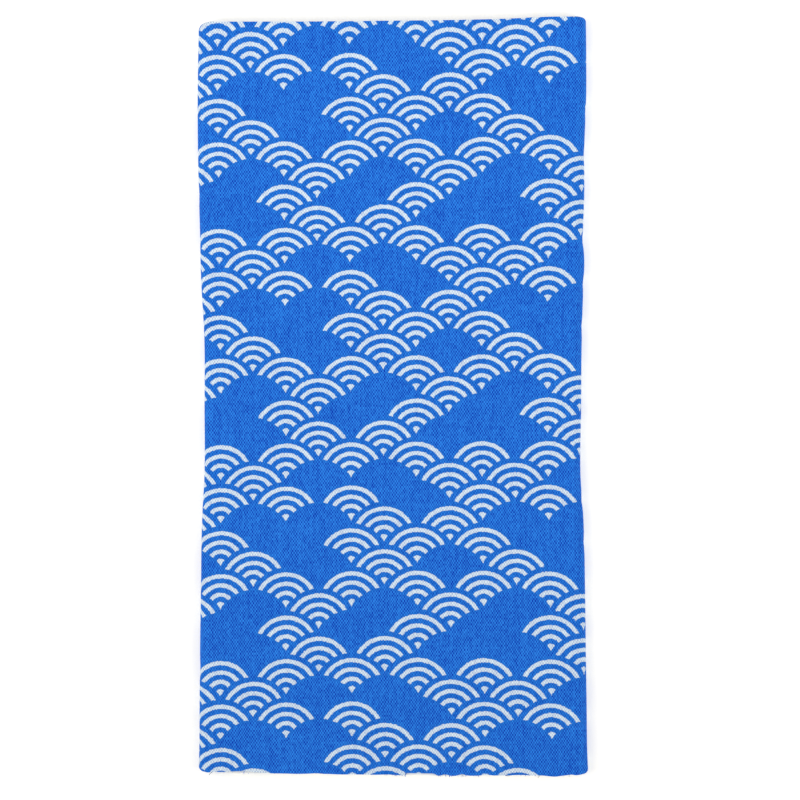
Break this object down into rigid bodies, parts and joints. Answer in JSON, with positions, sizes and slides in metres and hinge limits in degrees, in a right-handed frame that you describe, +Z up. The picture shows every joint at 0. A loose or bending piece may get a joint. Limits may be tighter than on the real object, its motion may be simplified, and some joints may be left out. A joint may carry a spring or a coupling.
{
  "type": "folded tenugui towel",
  "caption": "Thin plain-woven cotton tenugui towel with an overlapping-wave print, folded into a flat oblong pack of five panels that lies on a surface.",
  "frame": {"origin": "on the surface that the folded towel lies on, under the centre of its box", "axes": "+X across the folded towel, towards the side where the front folds round to the back; +Y along it; +Z up, out of its printed front"},
  "size_m": [0.1811, 0.3526, 0.0102],
  "materials": {
    "dyed_cotton": "plain-woven cotton dyed blue, with a white resist print of overlapping waves; matt"
  },
  "bodies": {
    "root": {"towel": "dyed_cotton"}
  },
  "joints": []
}
